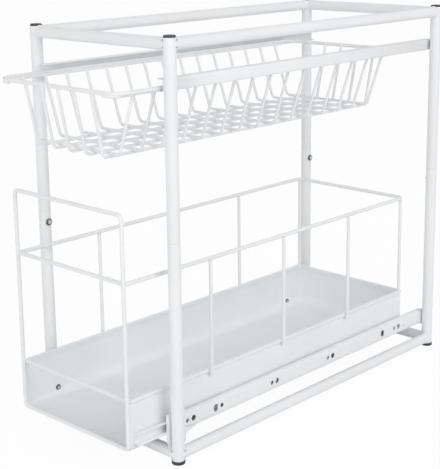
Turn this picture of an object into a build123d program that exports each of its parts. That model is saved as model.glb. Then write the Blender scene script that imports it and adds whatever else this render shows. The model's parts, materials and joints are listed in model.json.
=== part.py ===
from build123d import *
import math
import os

# Under sink organizer: a tube frame with a pull-out wire basket above and a sheet drawer on ball slides
# Millimetres. X runs across, the front faces -Y and Z is up, from the floor
# Places are worked out from the frame's middle, and the nodes are written from the whole part's middle

os.makedirs("parts", exist_ok=True)

# Frame
post_span = 186.0          # between post axes, across
post_depth = 416.0         # between post axes, front to back
post_top = 400.0           # top end of the post tubes
post_diameter = 12.0
post_wall = 0.8
seam_height = 215.0        # where the upper posts stand on the lower ones
bar_diameter = 11.5
bar_wall = 0.8
foot_thickness = 3.0
foot_flange = 0.5          # by which a foot stands out past its post
foot_gap = 0.2             # between a foot and the bars above it
cap_thickness = 2.0
cap_flange = 0.2
plug_length = 7.0          # the part of a foot or cap inside its tube
plug_play = 0.1
joiner_reach = 18.0        # of a joining piece, each way from the seam
lock_drop = 11.5           # lock screws below the seam
lock_head_diameter = 6.6
lock_head_rim = 0.5
lock_head_dome = 1.2
lock_shank_diameter = 3.6
lock_shank_length = 4.0

# Basket rails
rail_height = 11.7
rail_bottom = 351.7
rail_sheet = 1.0
rail_top_width = 8.0
rail_front_reach = 3.0     # past the front posts' axes
rail_rear_reach = 1.0

# Basket
basket_front_reach = 7.0   # closed rim wire past the front posts' axes; at the rear it ends level with them
basket_shown = 48.0        # how far the basket is pulled out as stored
rim_diameter = 4.0
rim_corner = 14.0          # bend radius at the rim's corners
rim_play = 1.4             # between the rim and the rails' webs
rim_lift = 0.3             # between the rim and the rails' lips
runner_diameter = 3.0      # side wires, welded to the rim's inner sides
runner_side_angle = 55.6   # degrees, inward from straight below the rim
runner_play = 0.3          # between the side wires and the edges of the rails' lips
runner_front_reach = 8.0   # of the side wires past the rim's front run, which they pass under
runner_low_reach = 6.0     # of their low front ends behind it
runner_rise_length = 18.0  # where they rise to the rim's side
runner_bend = 40.0
cross_diameter = 3.0
cross_count = 15
cross_front = 25.0         # first cross wire behind the rim's front run
cross_rear = 31.2          # last cross wire before its rear run
cross_rise = 1.0           # of the cross wires' ends above the side wires' centres
side_lean = 19.0           # degrees, of the cross wires' sides
long_diameter = 3.0
long_count = 5
long_pitch = 23.0
long_rise = 1.0            # of the lengthwise wires' ends above the rim's centre
front_lean = 11.0          # degrees, of the lengthwise wires' front runs
rear_lean = 14.0
floor_drop = 59.0          # from the rim's centre down to the cross wires' floor runs
wire_bend = 5.5            # bend radius of the basket's thin wires
weld_sink = 0.35           # how far welded wires sink into each other

# Drawer
tray_reach = 7.0           # closed tray past the posts' axes, at each end
tray_bottom = 22.6
tray_height = 46.75
tray_sheet = 1.0
tray_fold = 4.0            # outer bend radius between the floor and the walls
tray_rim_corner = 4.0      # on the rim wire's centre line
drawer_shown = 39.0        # how far the drawer is pulled out as stored
tray_rim_diameter = 4.0
loop_diameter = 4.0
loop_top = 249.0
loop_corner = 9.0
loop_foot_corner = 4.0
loop_reach = 1.0           # of the loop's sides past the tray's sides
fence_diameter = 4.0
fence_height = 183.5
fence_corner = 7.0         # on the ring's centre line
upright_diameter = 3.6
upright_shares = [0.2465, 0.4977, 0.7488]  # of the tray's length from its front, without the rear corner's
upright_foot = 4.5         # of an upright below the tray's rim wire

# Ball slides, with sections measured inward from the outer faces and up and down from the middle height
slide_height = 17.0
slide_middle = 34.0        # above the floor
slide_sheet = 1.0
slide_end_gap = 5.0        # between the outer members' ends and the brackets' lips
slide_gap = 8.5            # from the outer members' outer faces to the tray's sides
slide_step = 0.5           # by which the middle band of the outer member stands out
slide_band = 10.8
outer_flange = 6.8
outer_lip = 0.9
inner_width = 10.2
inner_reach = 5.8
inner_lip = 0.7
inner_lip_width = 0.6
inner_front_inset = 5.0    # inner members behind the tray's front edge
inner_rear_inset = 15.0    # and before its rear edge
ball_play = 0.1
ball_count = 3             # in each race
ball_depth = 4.6
cage_width = 13.2
cage_length = 100.0
cage_reach = 3.8
cage_sheet = 0.6
cage_play = 0.3
cage_front = 74.5          # cages' front ends before the frame's middle as stored
pocket_play = 0.15
hole_small = 4.5
hole_large = 6.0
hole_oval = 8.0
small_hole_shares = [-0.452, -0.337, -0.156, 0.066, 0.362, 0.402]
large_hole_shares = [-0.432, -0.137, 0.086, 0.383]
oval_hole_shares = [-0.358, 0.307]

# Slide brackets, of sheet, between the slides and the posts
bracket_sheet = 1.0
bracket_reach = 6.0        # past the posts' axes
bracket_front_width = 22.0
bracket_front_rise = 5.5   # above the slide's upper edge
bracket_lip_width = 3.2
bracket_lip_drop = 6.5     # below the slide's lower edge
bracket_bar_gap = 0.3      # above the bottom bars
strut_drop = 7.5           # where the lower edge begins to slope, below the slide's lower edge
strut_width = 23.0
strut_band = 3.5           # where it meets the slide
bracket_rear_width = 18.0
bracket_rear_rise = 1.5

# Tray screws
tray_screw_head = 6.0
tray_screw_rim = 0.4
tray_screw_dome = 0.9
tray_screw_shank = 3.0
tray_screw_length = 4.0
tray_screw_drop = 3.4      # below the slide's middle
tray_screw_front_inset = 40.0  # behind the tray's front edge
tray_screw_rear_inset = 25.0   # before its rear edge

# The wires and hidden bores are many, so each is drawn with flats, and its bends with short straight steps
disc_flats_count = 24
thick_flats_count = 12
thin_flats_count = 8
thick_steps_count = 3
thin_steps_count = 2

# Places that follow from the sizes above
post_x = post_span / 2
post_y = post_depth / 2
post_radius = post_diameter / 2
post_bore = post_radius - post_wall
post_inner_x = post_x - post_radius
bar_radius = bar_diameter / 2
top_bar_z = post_top - bar_radius
bottom_bar_z = foot_thickness + foot_gap + bar_radius
basket_length = post_depth + basket_front_reach
tray_length = post_depth + tray_reach + tray_reach
slide_x = post_inner_x - bracket_sheet
slide_reach = bracket_reach - bracket_sheet - slide_end_gap
slide_length = post_depth + slide_reach + slide_reach
corners = [(sx, sy) for sx in (-1, 1) for sy in (-1, 1)]
sides = [(-1, "left"), (1, "right")]
rim_rear = post_y - basket_shown
rim_front = rim_rear - basket_length
runner_front = rim_front - runner_front_reach
feet_rear = post_y + post_radius + foot_flange
part_middle = (runner_front + feet_rear) / 2


def write(shape, node):
    # The origin is the middle of the part's length as stored, with the basket and the drawer pulled out
    shape = Pos(0, -part_middle, 0) * shape
    shape.label = node
    export_step(shape, f"parts/{node}.step")


def group(shapes):
    return Compound(list(shapes))


# Shared forms


def flat_rod(radius, low, high, flats=thick_flats_count):
    section = RegularPolygon(radius, flats, major_radius=False, rotation=180 / flats)
    return Pos(0, 0, low) * extrude(section, high - low)


def screw(head_diameter, rim, dome, shank_diameter, shank_length):
    # Head up along +Z from its seat at zero
    head = head_diameter / 2
    body = flat_rod(head, 0, rim)
    crown = RegularPolygon(head, thick_flats_count, major_radius=False, rotation=180 / thick_flats_count)
    slope = math.degrees(math.atan(head / 2 / dome))
    body += Pos(0, 0, rim) * extrude(crown, dome, taper=slope)
    return body + flat_rod(shank_diameter / 2, -shank_length, 0, thin_flats_count)


def sheet_section(points, start, length):
    # A bent sheet's section in X and Z, drawn out backwards from start
    section = Plane.XZ * make_face(Polyline(*points, close=True))
    return Pos(0, start + length, 0) * extrude(section, length)


def bend_points(before, corner, after, radius, steps):
    # Points evenly spaced along the arc that rounds a corner of a wire's route
    back = (before - corner).normalized()
    ahead = (after - corner).normalized()
    half = math.radians(back.get_angle(ahead)) / 2
    centre = corner + (back + ahead).normalized() * (radius / math.sin(half))
    reach = radius / math.tan(half)
    start = corner + back * reach - centre
    end = corner + ahead * reach - centre
    turn = math.pi - half - half
    points = []
    for step in range(steps + 1):
        share = step / steps
        weight = math.sin(turn * (1 - share)) / math.sin(turn)
        points.append(centre + start * weight + end * (math.sin(turn * share) / math.sin(turn)))
    return points


def bent_wire(route, radii, diameter, normal, flats, steps):
    # A wire through the route's points, bent at each inner one, all in the plane with this normal
    route = [Vector(*point) for point in route]
    points = [route[0]]
    for before, corner, after, radius in zip(route, route[1:], route[2:], radii):
        points += bend_points(before, corner, after, radius, steps)
    path = Polyline(*points, route[-1])
    section = RegularPolygon(diameter / 2, flats, major_radius=False, rotation=180 / flats)
    start = Plane(origin=path @ 0, x_dir=normal, z_dir=path % 0)
    return sweep(start * section, path=path, transition=Transition.RIGHT)


def wire_ring(x, front, rear, height, radius, diameter):
    # A closed level loop on its centre line, from the middle of its front run
    route = [(0, front), (x, front), (x, rear), (-x, rear), (-x, front), (0, front)]
    route = [(*point, height) for point in route]
    radii = [radius] * 4
    return bent_wire(route, radii, diameter, (0, 0, 1), thick_flats_count, thick_steps_count)


# Frame


def build_posts():
    bore = RegularPolygon(post_bore, thick_flats_count, major_radius=False, rotation=180 / thick_flats_count)
    section = Circle(post_radius) - bore
    lower = Pos(0, 0, foot_thickness) * extrude(section, seam_height - foot_thickness)
    upper = Pos(0, 0, seam_height) * extrude(section, post_top - seam_height)
    for sx, side in sides:
        for sy, end in ((-1, "front"), (1, "rear")):
            place = Pos(sx * post_x, sy * post_y, 0)
            write(place * lower, f"post_lower_{end}_{side}")
            write(place * upper, f"post_upper_{end}_{side}")


def build_joiners():
    # A tight piece inside each post, across its seam
    rod = flat_rod(post_bore - plug_play, seam_height - joiner_reach, seam_height + joiner_reach)
    write(group(Pos(sx * post_x, sy * post_y, 0) * rod for sx, sy in corners), "post_joiners")


def frame_bar(span):
    # A tube along X between two post axes, its ends mitred to the next bars and hollowed for the round posts
    half = span / 2
    bore = RegularPolygon(bar_radius - bar_wall, thin_flats_count, major_radius=False)
    bar = extrude(Plane.YZ * (Circle(bar_radius) - bore), half, both=True)
    width = bar_diameter
    mitre = [(-half, 0), (width - half, width), (half - width, width), (half, 0), (half - width, -width)]
    mitre.append((width - half, -width))
    bar &= extrude(make_face(Polyline(*mitre, close=True)), width, both=True)
    cutter = Cylinder(post_radius, width + width)
    return bar - Pos(half, 0, 0) * cutter - Pos(-half, 0, 0) * cutter


def build_bars():
    across = frame_bar(post_span)
    lengthwise = Rot(0, 0, 90) * frame_bar(post_depth)
    for level, height in (("top", top_bar_z), ("bottom", bottom_bar_z)):
        write(Pos(0, -post_y, height) * across, f"{level}_bar_front")
        write(Pos(0, post_y, height) * across, f"{level}_bar_rear")
        write(Pos(-post_x, 0, height) * lengthwise, f"{level}_bar_left")
        write(Pos(post_x, 0, height) * lengthwise, f"{level}_bar_right")


def build_caps_and_feet():
    plug_radius = post_bore - plug_play
    foot = flat_rod(post_radius + foot_flange, 0, foot_thickness, disc_flats_count)
    foot += flat_rod(plug_radius, foot_thickness, foot_thickness + plug_length)
    cap = flat_rod(post_radius + cap_flange, 0, cap_thickness, disc_flats_count)
    cap += flat_rod(plug_radius, -plug_length, 0)
    write(group(Pos(sx * post_x, sy * post_y, 0) * foot for sx, sy in corners), "post_feet")
    write(group(Pos(sx * post_x, sy * post_y, post_top) * cap for sx, sy in corners), "post_caps")


def build_lock_screws():
    # On the posts' inner sides, each head pointing to the middle of the frame
    lock = screw(lock_head_diameter, lock_head_rim, lock_head_dome, lock_shank_diameter, lock_shank_length)
    height = seam_height - lock_drop
    places = [Pos(sx * post_inner_x, sy * post_y, height) * Rot(0, -sx * 90, 0) for sx, sy in corners]
    write(group(place * lock for place in places), "post_lock_screws")


# Basket rails, C channels open to the middle: the rim rides on their lips, and the side wires run along the
# lips' edges and keep the basket in the middle

rail_web_x = post_inner_x
rail_lip_top = rail_bottom + rail_sheet
rail_top = rail_bottom + rail_height
rim_radius = rim_diameter / 2
rim_x = rail_web_x - rail_sheet - rim_play - rim_radius
rim_z = rail_lip_top + rim_lift + rim_radius
runner_radius = runner_diameter / 2
runner_stand = rim_radius + runner_radius - weld_sink
runner_x = rim_x - runner_stand * math.sin(math.radians(runner_side_angle))
runner_z = rim_z - runner_stand * math.cos(math.radians(runner_side_angle))
lip_edge = runner_x + runner_radius + runner_play


def build_rails():
    inner = rail_web_x - rail_sheet
    top_edge = rail_web_x - rail_top_width
    half = [
        (rail_web_x, rail_bottom), (rail_web_x, rail_top), (top_edge, rail_top),
        (top_edge, rail_top - rail_sheet), (inner, rail_top - rail_sheet), (inner, rail_lip_top),
        (lip_edge, rail_lip_top), (lip_edge, rail_bottom),
    ]
    start = -post_y - rail_front_reach
    length = post_depth + rail_front_reach + rail_rear_reach
    for side, name in sides:
        write(sheet_section([(side * x, z) for x, z in half], start, length), f"basket_rail_{name}")


# Basket, as stored

cross_radius = cross_diameter / 2
long_radius = long_diameter / 2
lean_slope = math.tan(math.radians(side_lean))
lean_cosine = math.cos(math.radians(side_lean))
cross_x_at_runner = runner_x - (runner_radius + cross_radius - weld_sink) / lean_cosine
floor_z = rim_z - floor_drop
floor_x = cross_x_at_runner - (runner_z - floor_z) * lean_slope


def build_basket_rim():
    write(wire_ring(rim_x, rim_front, rim_rear, rim_z, rim_corner, rim_diameter), "basket_rim")


def build_runners():
    # Low under the rim's front corners, then up to the rim's side, and straight back to its rear corners
    low = rim_z - runner_stand
    rise = rim_front + runner_low_reach
    route = [
        (0, runner_front, low), (0, rise, low), (0, rise + runner_rise_length, runner_z),
        (0, rim_rear - rim_corner, runner_z),
    ]
    radii = [runner_bend, runner_bend]
    wire = bent_wire(route, radii, runner_diameter, (1, 0, 0), thick_flats_count, thin_steps_count)
    for side, name in sides:
        write(Pos(side * runner_x, 0, 0) * wire, f"basket_runner_{name}")


def build_cross_wires():
    top_x = cross_x_at_runner + cross_rise * lean_slope
    top_z = runner_z + cross_rise
    route = [(-top_x, 0, top_z), (-floor_x, 0, floor_z), (floor_x, 0, floor_z), (top_x, 0, top_z)]
    radii = [wire_bend, wire_bend]
    wire = bent_wire(route, radii, cross_diameter, (0, 1, 0), thin_flats_count, thin_steps_count)
    first = rim_front + cross_front
    pitch = (basket_length - cross_front - cross_rear) / (cross_count - 1)
    wires = [Pos(0, first + i * pitch, 0) * wire for i in range(cross_count)]
    write(group(wires), "basket_cross_wires")


def build_long_wires():
    # Under the cross wires' floor runs, up inside the rim's front and rear runs
    bottom = floor_z - cross_radius - long_radius + weld_sink
    drop = rim_z - bottom
    stand = rim_radius + long_radius - weld_sink
    front_slope = math.tan(math.radians(front_lean))
    rear_slope = math.tan(math.radians(rear_lean))
    front = rim_front + stand / math.cos(math.radians(front_lean))
    rear = rim_rear - stand / math.cos(math.radians(rear_lean))
    route = [
        (0, front - long_rise * front_slope, rim_z + long_rise),
        (0, front + drop * front_slope, bottom),
        (0, rear - drop * rear_slope, bottom),
        (0, rear + long_rise * rear_slope, rim_z + long_rise),
    ]
    radii = [wire_bend, wire_bend]
    wire = bent_wire(route, radii, long_diameter, (1, 0, 0), thin_flats_count, thin_steps_count)
    middle = (long_count - 1) / 2
    wires = [Pos((i - middle) * long_pitch, 0, 0) * wire for i in range(long_count)]
    write(group(wires), "basket_long_wires")


# Drawer, as stored

tray_x = slide_x - slide_gap
tray_rear = post_y + tray_reach - drawer_shown
tray_front = tray_rear - tray_length
tray_rim_radius = tray_rim_diameter / 2
tray_rim_x = tray_x - tray_sheet / 2
tray_rim_z = tray_bottom + tray_height + tray_rim_radius - weld_sink
loop_radius = loop_diameter / 2
loop_x = tray_x + loop_reach - loop_radius
loop_y = tray_front - loop_radius + weld_sink
fence_radius = fence_diameter / 2
ring_rear = tray_rear - tray_sheet / 2


def ring_front(corner, radius):
    # The front run's place for a level ring whose rounded corners meet the loop's uprights from behind
    reach = corner + radius + loop_radius - weld_sink
    aside = loop_x - tray_rim_x + corner
    return loop_y + math.sqrt(reach * reach - aside * aside) - corner


def pan(margin, floor):
    # The tray's outline, drawn in by a margin, with its rear corners and the folds beside its floor rounded
    x = tray_x - margin
    rear = tray_rear - margin
    corner = tray_rim_corner + tray_sheet / 2 - margin
    fold = tray_fold - margin
    high = tray_bottom + tray_height
    block = Box(x + x, rear - tray_front, high - floor)
    block = Pos(0, (tray_front + rear) / 2, (floor + high) / 2) * block
    rear_edges = block.edges().filter_by(Axis.Z).group_by(Axis.Y)[-1]
    block = fillet(rear_edges, corner)
    floor_edges = [e for e in block.faces().sort_by(Axis.Z)[0].edges() if e.center().Y > tray_front + fold]
    return fillet(floor_edges, fold)


def build_tray():
    write(pan(0, tray_bottom) - pan(tray_sheet, tray_bottom + tray_sheet), "drawer_tray")


def build_tray_rim():
    front = ring_front(tray_rim_corner, tray_rim_radius)
    ring = wire_ring(tray_rim_x, front, ring_rear, tray_rim_z, tray_rim_corner, tray_rim_diameter)
    write(ring, "drawer_tray_rim")


def build_fence():
    front = ring_front(fence_corner, fence_radius)
    ring = wire_ring(tray_rim_x, front, ring_rear, fence_height, fence_corner, fence_diameter)
    write(ring, "drawer_fence_ring")


def build_front_loop():
    low = tray_bottom + loop_radius
    high = loop_top - loop_radius
    frame = [(loop_x, low), (loop_x, high), (-loop_x, high), (-loop_x, low)]
    route = [(x, loop_y, z) for x, z in [(0, low), *frame, (0, low)]]
    radii = [loop_foot_corner, loop_corner, loop_corner, loop_foot_corner]
    loop = bent_wire(route, radii, loop_diameter, (0, 1, 0), thick_flats_count, thick_steps_count)
    write(loop, "drawer_front_loop")


def build_uprights():
    # Outside the rim wire and the fence ring, and one more between their rear corners on each side
    upright_radius = upright_diameter / 2
    stand = fence_radius + upright_radius - weld_sink
    rod = flat_rod(upright_radius, tray_rim_z - upright_foot, fence_height + fence_radius, thin_flats_count)
    low = tray_rim_z + tray_rim_radius / 2
    high = fence_height - fence_radius + weld_sink
    corner_rod = flat_rod(upright_radius, low, high, thin_flats_count)
    inset = fence_corner * (1 - math.cos(math.radians(45)))
    for side, name in sides:
        x = side * (tray_rim_x + stand)
        rods = [Pos(x, tray_front + share * tray_length, 0) * rod for share in upright_shares]
        rods.append(Pos(side * (tray_rim_x - inset), ring_rear - inset, 0) * corner_rod)
        write(group(rods), f"drawer_uprights_{name}")


# Ball slides

slide_half = slide_height / 2
race_low = inner_width / 2
race_high = slide_half - slide_sheet
ball_radius = (race_high - race_low) / 2 - ball_play
ball_height = (race_high + race_low) / 2


def slide_section(half, side):
    # A channel's section from its upper half, given as depth from the outer face and height from the middle
    outline = half + [(depth, -height) for depth, height in reversed(half)]
    return [(side * (slide_x - depth), slide_middle + height) for depth, height in outline]


def slide_holes(side):
    small = RegularPolygon(hole_small / 2, thick_flats_count, major_radius=False)
    large = RegularPolygon(hole_large / 2, thick_flats_count, major_radius=False)
    oval = Pos(0, (hole_large - hole_oval) / 2) * large + Pos(0, (hole_oval - hole_large) / 2) * large
    oval = make_hull(oval.edges())
    kinds = ((small, small_hole_shares), (large, large_hole_shares), (oval, oval_hole_shares))
    return [
        Pos(side * slide_x, share * slide_length, slide_middle) * punch
        for kind, shares in kinds
        for punch in [extrude(Plane.YZ * kind, slide_height, both=True)]
        for share in shares
    ]


def build_outer_members():
    band = slide_band / 2
    upper = [
        (0, band), (slide_step, band), (slide_step, slide_half), (outer_flange, slide_half),
        (outer_flange, race_high - outer_lip), (outer_flange - slide_sheet, race_high - outer_lip),
        (outer_flange - slide_sheet, race_high), (slide_step + slide_sheet, race_high),
        (slide_step + slide_sheet, band - slide_sheet), (slide_sheet, band - slide_sheet),
    ]
    for side, name in sides:
        member = sheet_section(slide_section(upper, side), -slide_length / 2, slide_length)
        write(member - slide_holes(side), f"slide_outer_{name}")


def build_inner_members():
    tip = slide_gap - inner_reach
    upper = [
        (slide_gap, race_low), (tip + inner_lip_width, race_low),
        (tip + inner_lip_width, race_low + inner_lip), (tip, race_low + inner_lip),
        (tip, race_low - slide_sheet), (slide_gap - slide_sheet, race_low - slide_sheet),
    ]
    start = tray_front + inner_front_inset
    length = tray_length - inner_front_inset - inner_rear_inset
    for side, name in sides:
        write(sheet_section(slide_section(upper, side), start, length), f"slide_inner_{name}")


def ball_places():
    # Evenly along the cage, from its front end
    pitch = cage_length / ball_count
    return [-cage_front + pitch / 2 + i * pitch for i in range(ball_count)]


def build_cages():
    web = slide_step + slide_sheet + cage_play
    edge = cage_width / 2
    upper = [
        (web, edge), (web + cage_reach, edge), (web + cage_reach, edge - cage_sheet),
        (web + cage_sheet, edge - cage_sheet),
    ]
    opening = ball_radius + pocket_play
    deep = web + cage_reach - ball_depth + opening
    pocket = Box(deep + deep, opening + opening, slide_height)
    for side, name in sides:
        cage = sheet_section(slide_section(upper, side), -cage_front, cage_length)
        for y in ball_places():
            cage -= Pos(side * (slide_x - web - cage_reach), y, slide_middle) * pocket
        write(cage, f"slide_cage_{name}")


def build_balls():
    # A small ball with flats in every direction
    turn = 180 / thin_flats_count
    section = RegularPolygon(ball_radius, thin_flats_count, major_radius=False, rotation=turn)
    planes = (Plane.XY, Plane.YZ, Plane.XZ)
    flat, standing, facing = [extrude(plane * section, ball_radius, both=True) for plane in planes]
    ball = flat & standing & facing
    for side, name in sides:
        x = side * (slide_x - ball_depth)
        balls = [
            Pos(x, y, slide_middle + up * ball_height) * ball
            for y in ball_places()
            for up in (-1, 1)
        ]
        write(group(balls), f"slide_balls_{name}")


# Slide brackets

slide_low = slide_middle - slide_half
slide_high = slide_middle + slide_half


def side_plate(outline, side):
    # A sheet plate on a slide's outer face, from its outline in Y and Z
    plate = extrude(Plane.YZ * make_face(Polyline(*outline, close=True)), bracket_sheet)
    return Pos(slide_x if side > 0 else -slide_x - bracket_sheet, 0, 0) * plate


def build_front_brackets():
    front = -post_y - bracket_reach
    rear = front + bracket_front_width
    top = slide_high + bracket_front_rise
    slope = slide_low - strut_drop
    foot = bottom_bar_z + bar_radius + bracket_bar_gap
    band = slide_low + strut_band
    tip = rear + strut_width
    outline = [
        (front, foot), (rear, foot), (rear, slope), (tip, slide_low),
        (tip, band), (rear, band), (rear, top), (front, top),
    ]
    lip_low = slide_low - bracket_lip_drop
    outer = slide_x + bracket_sheet
    lip = Box(bracket_lip_width, bracket_sheet, top - lip_low)
    for side, name in sides:
        x = side * (outer - bracket_lip_width / 2)
        place = Pos(x, front + bracket_sheet / 2, (top + lip_low) / 2)
        write(side_plate(outline, side) + place * lip, f"slide_bracket_front_{name}")


def build_rear_brackets():
    rear = post_y + bracket_reach
    front = rear - bracket_rear_width
    top = slide_high + bracket_rear_rise
    outline = [(front, slide_low), (rear, slide_low), (rear, top), (front, top)]
    lip = Box(bracket_lip_width, bracket_sheet, top - slide_low)
    for side, name in sides:
        x = side * (slide_x + bracket_sheet - bracket_lip_width / 2)
        place = Pos(x, rear - bracket_sheet / 2, (top + slide_low) / 2)
        write(side_plate(outline, side) + place * lip, f"slide_bracket_rear_{name}")


def build_tray_screws():
    # Through the tray's sides into the inner members, heads inside the tray
    one = screw(tray_screw_head, tray_screw_rim, tray_screw_dome, tray_screw_shank, tray_screw_length)
    height = slide_middle - tray_screw_drop
    places = (tray_front + tray_screw_front_inset, tray_rear - tray_screw_rear_inset)
    screws = [
        Pos(side * (tray_x - tray_sheet), place, height) * Rot(0, -side * 90, 0) * one
        for side, _ in sides
        for place in places
    ]
    write(group(screws), "drawer_screws")


build_posts()
build_joiners()
build_bars()
build_caps_and_feet()
build_lock_screws()
build_rails()
build_basket_rim()
build_runners()
build_cross_wires()
build_long_wires()
build_tray()
build_tray_rim()
build_fence()
build_front_loop()
build_uprights()
build_outer_members()
build_inner_members()
build_cages()
build_balls()
build_front_brackets()
build_rear_brackets()
build_tray_screws()
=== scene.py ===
import bmesh
import bpy
import json
import math
import numpy as np
from mathutils import Matrix, Vector
from mathutils.geometry import tessellate_polygon


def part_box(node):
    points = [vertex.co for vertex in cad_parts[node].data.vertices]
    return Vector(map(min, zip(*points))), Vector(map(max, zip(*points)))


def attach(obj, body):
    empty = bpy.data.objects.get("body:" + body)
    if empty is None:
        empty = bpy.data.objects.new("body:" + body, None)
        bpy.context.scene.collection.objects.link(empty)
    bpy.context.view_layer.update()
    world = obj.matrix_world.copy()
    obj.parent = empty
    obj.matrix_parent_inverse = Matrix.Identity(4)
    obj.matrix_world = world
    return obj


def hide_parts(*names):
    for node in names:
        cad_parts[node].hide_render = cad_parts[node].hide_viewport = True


# Under sink organizer: white tube frame, wire basket in rails, sheet drawer with a wire fence on ball slides.
# Lengths are in metres, the front is towards -Y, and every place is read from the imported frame.

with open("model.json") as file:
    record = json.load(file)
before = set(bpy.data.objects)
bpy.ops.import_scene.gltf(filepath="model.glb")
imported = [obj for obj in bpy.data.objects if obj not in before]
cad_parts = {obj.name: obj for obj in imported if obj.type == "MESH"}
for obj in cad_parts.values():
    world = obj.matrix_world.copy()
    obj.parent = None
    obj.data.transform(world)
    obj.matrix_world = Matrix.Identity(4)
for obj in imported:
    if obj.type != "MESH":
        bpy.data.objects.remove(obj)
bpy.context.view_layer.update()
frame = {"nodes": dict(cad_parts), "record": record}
mm = 0.001

look = {
    "tubeSides": 64,          # round the posts and bars
    "wireSides": 20,          # round the wires
    "bendSteps": 10,          # along each bend of a wire or a strip
    "endSteps": 4,            # along the rounding of a wire's end
    "arcSteps": 4,            # along an arc of a turned or a cut outline
    "cutEdge": 0.15 * mm,     # a strip's cut ends are drawn in by this
    "wireSharp": 60,          # degrees, past which an edge of a wire or a ball is sharp
    "noiseSpan": (0.3, 0.7),  # the part of the noise that a mottle spreads
}
sideSigns = {"left": -1, "right": 1}  # outwards along X


# Materials: one function per finish, on Object coordinates

def addNode(tree, kind, **values):
    # each value goes to the socket of its name, or else to the node's setting
    node = tree.nodes.new(kind)
    for key, value in values.items():
        if key in node.inputs:
            node.inputs[key].default_value = value
        else:
            setattr(node, key, value)
    return node


def newMaterial(name, colour, roughness, metallic=0.0):
    material = bpy.data.materials.new(name)
    material.use_nodes = True
    shader = material.node_tree.nodes["Principled BSDF"]
    shader.inputs["Base Color"].default_value = (*colour, 1.0)
    shader.inputs["Roughness"].default_value = roughness
    shader.inputs["Metallic"].default_value = metallic
    return material, material.node_tree, shader


def objectNoise(tree, grain, stretch=None):
    # noise of a (scale, detail) grain on Object coordinates, drawn out where a stretch is given
    place = addNode(tree, "ShaderNodeTexCoord").outputs["Object"]
    noise = addNode(tree, "ShaderNodeTexNoise", Scale=grain[0], Detail=grain[1])
    if stretch:
        mapping = addNode(tree, "ShaderNodeMapping", Scale=stretch)
        tree.links.new(place, mapping.inputs["Vector"])
        place = mapping.outputs["Vector"]
    tree.links.new(place, noise.inputs["Vector"])
    return noise.outputs["Fac"]


def carryOver(tree, source, fromSpan, toSpan=(0.0, 1.0)):
    # carries one span of values over to another, held at its ends
    names = ("From Min", "From Max", "To Min", "To Max")
    spread = addNode(tree, "ShaderNodeMapRange", **dict(zip(names, (*fromSpan, *toSpan))))
    tree.links.new(source, spread.inputs["Value"])
    return spread.outputs["Result"]


def mottle(tree, grain, toSpan=(0.0, 1.0)):
    # patches that run from one value to another
    return carryOver(tree, objectNoise(tree, grain), look["noiseSpan"], toSpan)


def tint(tree, shader, share, dark, light):
    # base colour from dark at 0 to light at 1
    mix = addNode(tree, "ShaderNodeMix", data_type="RGBA")
    mix.inputs[6].default_value = (*dark, 1.0)
    mix.inputs[7].default_value = (*light, 1.0)
    tree.links.new(share, mix.inputs[0])
    tree.links.new(mix.outputs[2], shader.inputs["Base Color"])


def grainBump(tree, shader, grain, strength, depth):
    # the same noise as a fine relief
    bump = addNode(tree, "ShaderNodeBump", Strength=strength, Distance=depth)
    tree.links.new(objectNoise(tree, grain), bump.inputs["Height"])
    tree.links.new(bump.outputs["Normal"], shader.inputs["Normal"])


coatFinish = {
    "light": (0.885, 0.9, 0.915), "dark": (0.845, 0.86, 0.875), "specular": 0.25,
    "roughness": 0.45, "wireRoughness": 0.41, "roughnessSteps": (-0.05, 0.06),  # down and up in patches
    "cloud": (14.0, 3.0), "patches": (60.0, 2.0), "peel": (900.0, 3.0),         # scale, detail
    "peelStrength": 0.12, "peelDepth": 0.05 * mm,
}


def coatMaterial(name, roughness):
    # satin powder coat: faint clouding, fine orange peel
    values = coatFinish
    material, tree, shader = newMaterial(name, values["light"], roughness)
    shader.inputs["Specular IOR Level"].default_value = values["specular"]
    tint(tree, shader, mottle(tree, values["cloud"]), values["dark"], values["light"])
    span = [roughness + step for step in values["roughnessSteps"]]
    tree.links.new(mottle(tree, values["patches"], span), shader.inputs["Roughness"])
    grainBump(tree, shader, values["peel"], values["peelStrength"], values["peelDepth"])
    return material


capFinish = {
    "middle": (0.03, 0.03, 0.033), "light": (0.05, 0.05, 0.053), "dark": (0.022, 0.022, 0.025),
    "roughness": 0.5, "cloud": (300.0, 3.0),
    "grain": (2500.0, 3.0), "grainStrength": 0.25, "grainDepth": 0.05 * mm,
}


def capMaterial():
    # dull moulded plastic
    values = capFinish
    material, tree, shader = newMaterial("blackCap", values["middle"], values["roughness"])
    tint(tree, shader, mottle(tree, values["cloud"]), values["dark"], values["light"])
    grainBump(tree, shader, values["grain"], values["grainStrength"], values["grainDepth"])
    return material


screwFinish = {
    # crown: a painted highlight, the reflection of a bright lamp; rim: painted dark, the reflection of dark
    # surroundings
    "crown": (0.6, 0.64, 0.64), "rim": (0.07, 0.09, 0.09), "paintedReflectionSpan": (0.15, 0.7),  # 0 at the rim
    "roughness": 0.22, "roughnessSpan": (0.16, 0.32), "patches": (900.0, 2.0),
}


def screwMaterial():
    # polished metal with a painted reflection: a painted highlight at the crown, painted dark towards the
    # rim, by the attribute that makeHeads writes
    values = screwFinish
    material, tree, shader = newMaterial("screwWithPaintedReflection", values["crown"], values["roughness"], 1.0)
    crown = addNode(tree, "ShaderNodeAttribute", attribute_name="crown")
    share = carryOver(tree, crown.outputs["Fac"], values["paintedReflectionSpan"])
    tint(tree, shader, share, values["rim"], values["crown"])
    tree.links.new(mottle(tree, values["patches"], values["roughnessSpan"]), shader.inputs["Roughness"])
    return material


cageFinish = {
    "middle": (0.55, 0.56, 0.57), "light": (0.62, 0.63, 0.64), "dark": (0.45, 0.46, 0.47), "roughness": 0.38,
    "brush": (1.0, 2.0), "stretch": (900.0, 30.0, 900.0),
}


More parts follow.
